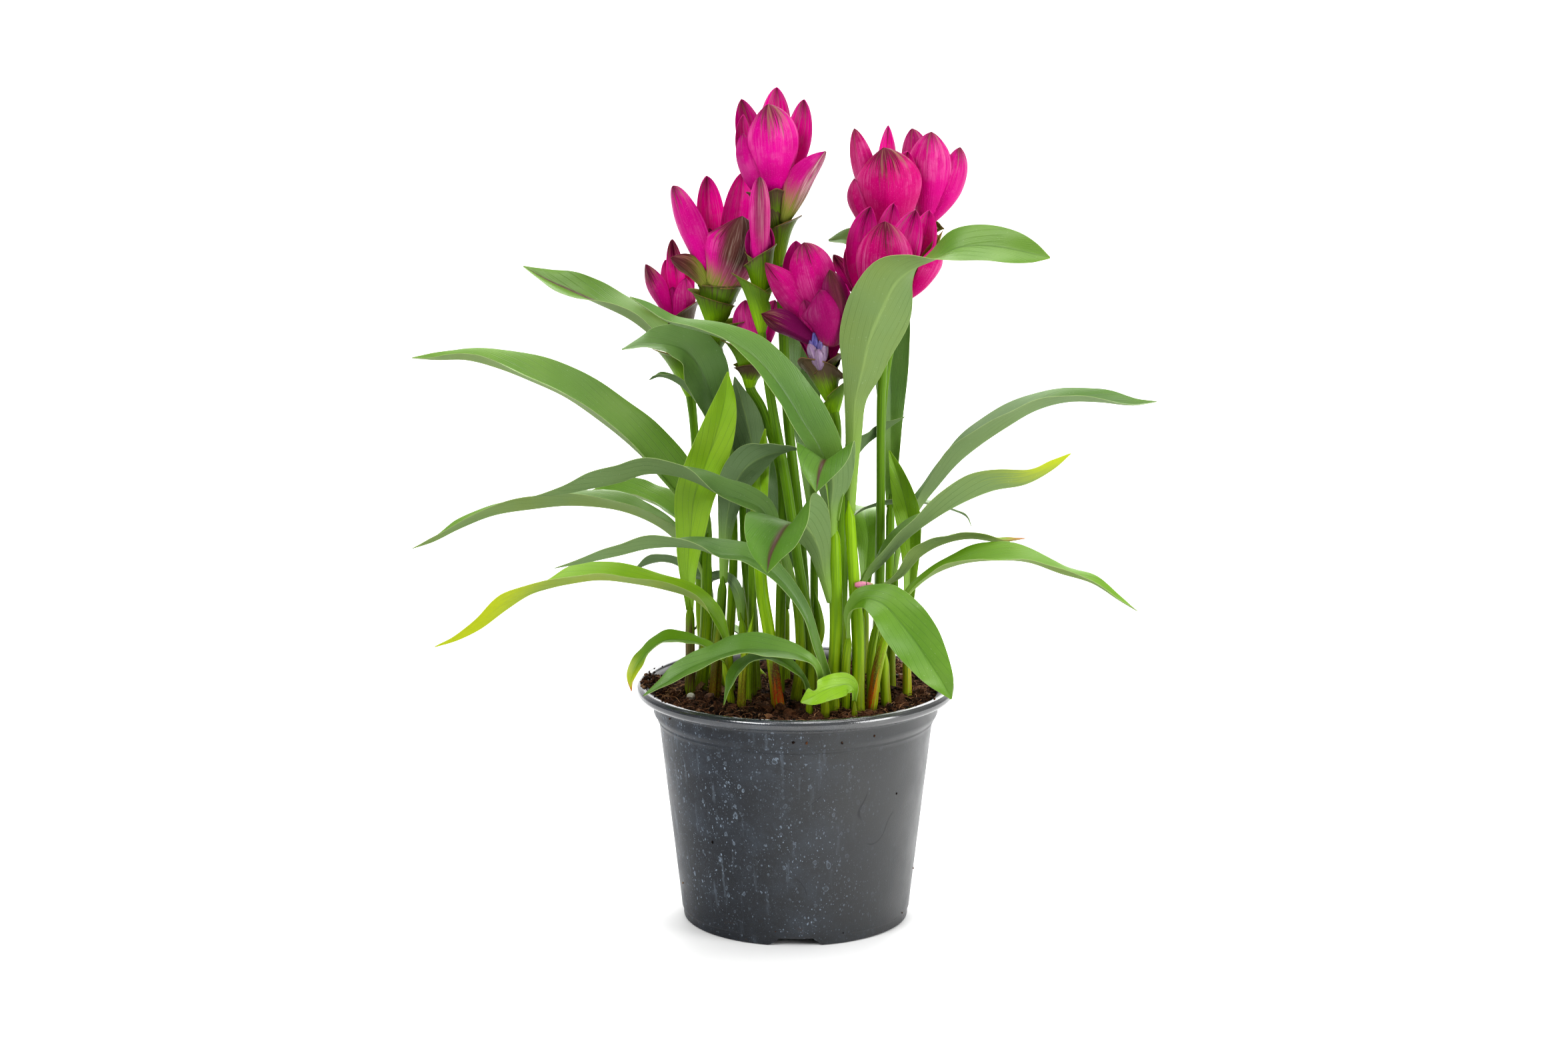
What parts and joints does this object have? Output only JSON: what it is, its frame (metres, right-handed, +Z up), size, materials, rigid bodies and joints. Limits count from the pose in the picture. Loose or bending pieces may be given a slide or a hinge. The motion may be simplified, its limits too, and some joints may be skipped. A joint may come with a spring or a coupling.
{
  "type": "potted plant",
  "caption": "Potted curcuma with arching lance-shaped leaves and upright magenta flower heads, growing from peat in a round nursery pot.",
  "frame": {"origin": "middle of the pot's foot, on the surface that the pot stands on", "axes": "+Z up out of the pot, -Y towards the viewer of the front, +X to the viewer's right"},
  "size_m": [0.4545, 0.1976, 0.4947],
  "materials": {
    "pot_plastic": "dark grey moulded plastic, satin, dusty, with a glossier worn lip",
    "peat": "moist brown peat with coconut fibres and crumbs",
    "leaf": "satin leaf blade with fine parallel veins and a thin pale edge, greyer below",
    "green_bract": "satin yellow-green stalk and cup bracts with purple-brown edges",
    "crown_bract": "satin deep magenta bract with paler streaks and a browned tip",
    "petal": "thin pale violet petals with a darker throat",
    "dry_bud": "dull pink dried bud",
    "perlite": "chalky white foamed grain",
    "clay": "dull brown clay pebble",
    "tan_clay": "dull tan clay chip",
    "bark": "dry grey bark"
  },
  "bodies": {
    "root": {"pot": "pot_plastic", "shoot_tall_left": "leaf", "shoot_left": "leaf", "shoot_curled": "leaf", "shoot_broad_left": "leaf", "shoot_behind_left": "leaf", "shoot_bright": "leaf", "shoot_grey": "leaf", "shoot_crossing": "leaf", "shoot_low_left": "leaf", "shoot_yellow_left": "leaf", "shoot_front_dark": "leaf", "shoot_front_low": "leaf", "shoot_bitten": "leaf", "shoot_great_right": "leaf", "shoot_front_right": "leaf", "shoot_yellow_tip": "leaf", "shoot_red_tip": "leaf", "shoot_low_right": "leaf", "shoot_far_right": "leaf", "shoot_upright_right": "leaf", "shoot_high_left": "leaf", "shoot_shaded": "leaf", "shoot_middle": "leaf", "shoot_upright_back": "leaf", "shoot_back_right": "leaf", "shoot_tall_back": "leaf", "shoot_arching_back": "leaf", "shoot_low_back": "leaf", "sprout_front": "leaf", "stub_right": "leaf", "sheath_back": "leaf", "crown_top": "crown_bract", "stalk_top": "green_bract", "crown_left": "crown_bract", "stalk_left": "green_bract", "crown_far_left": "crown_bract", "stalk_far_left": "green_bract", "crown_bud": "crown_bract", "stalk_bud": "green_bract", "crown_middle": "crown_bract", "stalk_middle": "green_bract", "crown_right": "crown_bract", "stalk_right": "green_bract", "crown_upper_right": "crown_bract", "stalk_upper_right": "green_bract", "crown_back_right": "crown_bract", "stalk_back_right": "green_bract", "flower": "petal", "crown_front": "crown_bract", "shoot_leader": "leaf", "spent_bud": "dry_bud", "perlite": "perlite", "clay_pebble": "clay", "tan_chip": "tan_clay", "bark_chip": "bark", "soil": "peat"}
  },
  "joints": []
}
